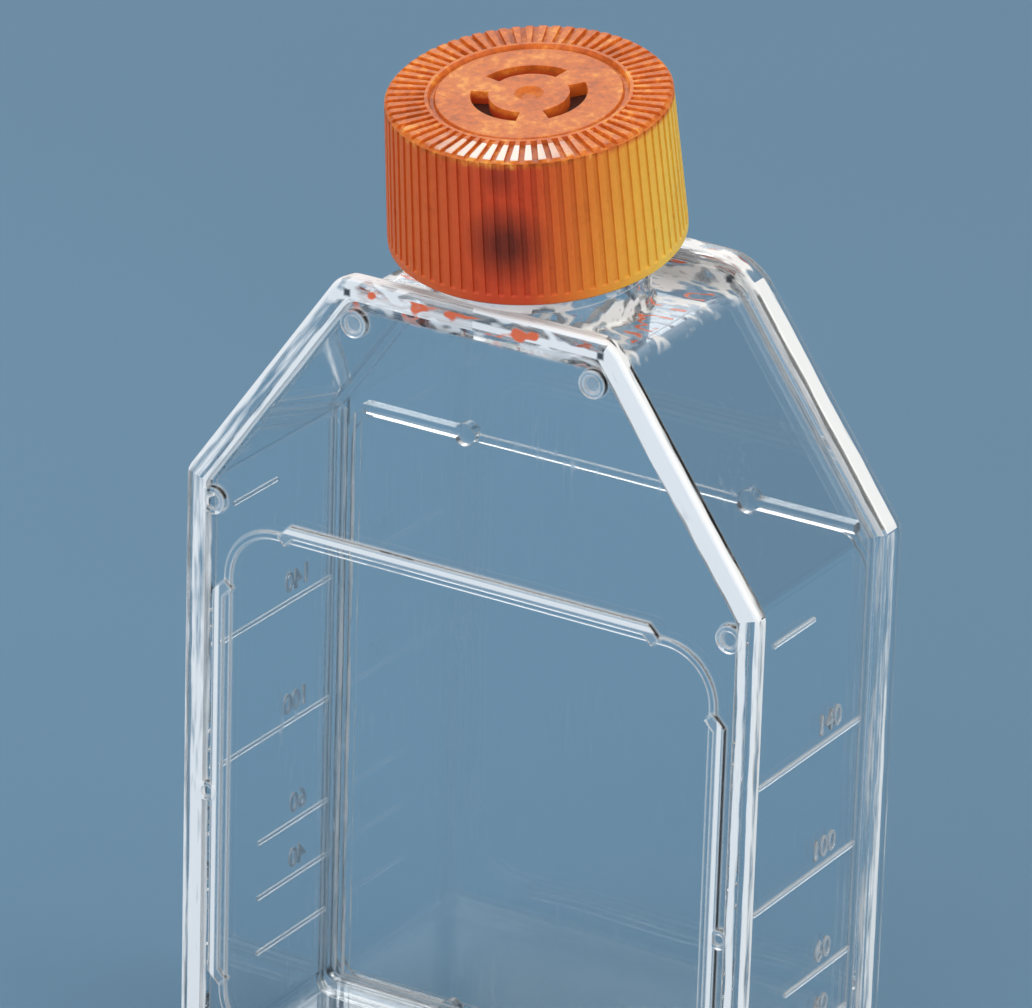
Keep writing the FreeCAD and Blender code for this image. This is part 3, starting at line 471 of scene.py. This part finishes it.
def dress(node, material):
    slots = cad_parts[node].data.materials
    if slots:
        slots[0] = material
    else:
        slots.append(material)


FIGURES = number_plastic("clear_figures")
dress("flask_shell", clear_plastic("clear_shell", back=False))
dress("growth_plate", clear_plastic("clear_plate", back=True))
dress("cap", orange_plastic("orange_polyethylene"))
dress("vent_membrane", membrane_film("filter_film"))


def add_object(name, data):
    holder = bpy.data.objects.new(name, data)
    bpy.context.scene.collection.objects.link(holder)
    return holder


def add_number(name, text, side, height):
    """Raised number just above a line; side is 1 on the right wall, -1 on the left."""
    curve = bpy.data.curves.new(name, "FONT")
    curve.body = text
    curve.size = NUMBER_SIZE
    curve.align_x = "RIGHT" if side > 0 else "LEFT"
    curve.extrude = NUMBER_DEPTH
    curve.bevel_depth = NUMBER_ROUNDING
    curve.bevel_resolution = 1
    number = add_object(name, curve)
    wall = SIDE_WALL + curve.extrude - NUMBER_SEAT
    number.location = (side * wall, NUMBER_Y, (height + NUMBER_LIFT) * MM)
    number.rotation_euler = (math.pi / 2, 0.0, side * math.pi / 2)
    curve.materials.append(FIGURES)
    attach(number, "flask")


for height, label in NUMBERED_LINES:
    add_number(f"number_right_{label}", label, 1, height)
    add_number(f"number_left_{label}", label, -1, height)

# Area lamps aimed at the middle of the flask: name, place, width and height, watts and colour.
# They are wide so that the flat clear walls don't mirror them as pure white.
LAMP_AIM = (0.0, -0.0158, 0.08)
LAMPS = (("right_light", (0.65, 0.05, 0.35), (0.75, 0.5), 2.0, (1.0, 0.93, 0.8)),
         ("front_light", (-0.2, -0.8, 0.4), (1.1, 0.55), 3.0, (1.0, 1.0, 1.0)))

for lamp_name, lamp_place, lamp_size, watts, lamp_color in LAMPS:
    light = bpy.data.lights.new(lamp_name, "AREA")
    light.shape = "RECTANGLE"
    light.size, light.size_y = lamp_size
    light.energy = watts
    light.color = lamp_color
    lamp = add_object(lamp_name, light)
    lamp.location = lamp_place
    aim = Vector(LAMP_AIM) - Vector(lamp_place)
    lamp.rotation_euler = aim.to_track_quat("-Z", "Y").to_euler()

FLOOR_HALF, FLOOR_DROP, FLOOR_BLUE = 4, 0.0002, (0.125, 0.255, 0.385)
floor_mesh = bpy.data.meshes.new("floor")
corners = [(side * FLOOR_HALF, end * FLOOR_HALF, 0)
           for side, end in ((-1, -1), (1, -1), (1, 1), (-1, 1))]
floor_mesh.from_pydata(corners, [], [(0, 1, 2, 3)])
floor = add_object("floor", floor_mesh)
floor.location.z = -FLOOR_DROP
floor_mesh.materials.append(matte("pale_floor", FLOOR_BLUE))

# The light around the flask. Softboxes: direction, angular radius in degrees and brightness against
# the surroundings. The shaded side: direction, angular radius and how much darker it is. Each
# fades over SPOT_FADE of its radius, from the outside inwards.
SOFTBOXES = (((-0.5, 0.68, 0.55), 17.0, 3.4), ((0.62, 0.62, 0.48), 9.0, 3.0))
SHADE = ((0.49, 0.78, 0.30), 22.0, 0.9)
SPOT_FADE = (1.3, 0.7)
SURROUNDINGS = 0.74


def studio_world():
    """Even white surroundings with softboxes and one shaded side, which the clear walls bend."""
    world = bpy.data.worlds.new("studio")
    world.use_nodes = True
    s = Nodes(world.node_tree)
    direction = s.add("ShaderNodeTexCoord").outputs["Generated"]

    def spot(axis, radius):
        facing = s.add("ShaderNodeVectorMath", operation="DOT_PRODUCT")
        s.link(direction, facing.inputs[0])
        facing.inputs[1].default_value = Vector(axis).normalized()
        outer, inner = (math.cos(share * math.radians(radius)) for share in SPOT_FADE)
        return s.between(facing.outputs["Value"], 0.0, 1.0, outer, inner)

    axis, radius, depth = SHADE
    level = s.minus(1.0, s.product(spot(axis, radius), depth))
    for axis, radius, brightness in SOFTBOXES:
        level = s.highest(level, s.product(spot(axis, radius), brightness))
    background = s.tree.nodes["Background"]
    socket(background, "Color", (1.0, 1.0, 1.0, 1.0))
    s.link(s.product(level, SURROUNDINGS), background.inputs["Strength"])
    bpy.context.scene.world = world


studio_world()

# The camera fitted to the photograph: focal length and image width in pixels, place and turn.
FOCAL_PIXELS, IMAGE_WIDTH, SENSOR_WIDTH = 7502.02, 1032.0, 36.0
CAMERA_PLACE, CAMERA_TURN = (0.433566, -0.751541, 0.447453), (67.01228, -1.60067, 31.41891)
camera_data = bpy.data.cameras.new("camera")
camera_data.sensor_width = SENSOR_WIDTH
camera_data.lens = SENSOR_WIDTH * FOCAL_PIXELS / IMAGE_WIDTH
camera_data.clip_start, camera_data.clip_end = 0.05, 20.0
camera = add_object("camera", camera_data)
camera.location = CAMERA_PLACE
camera.rotation_euler = tuple(math.radians(angle) for angle in CAMERA_TURN)
bpy.context.scene.camera = camera
bpy.context.scene.view_settings.view_transform = "Standard"
cycles = bpy.context.scene.cycles
cycles.max_bounces = 12
cycles.transmission_bounces = 12
cycles.glossy_bounces = 8
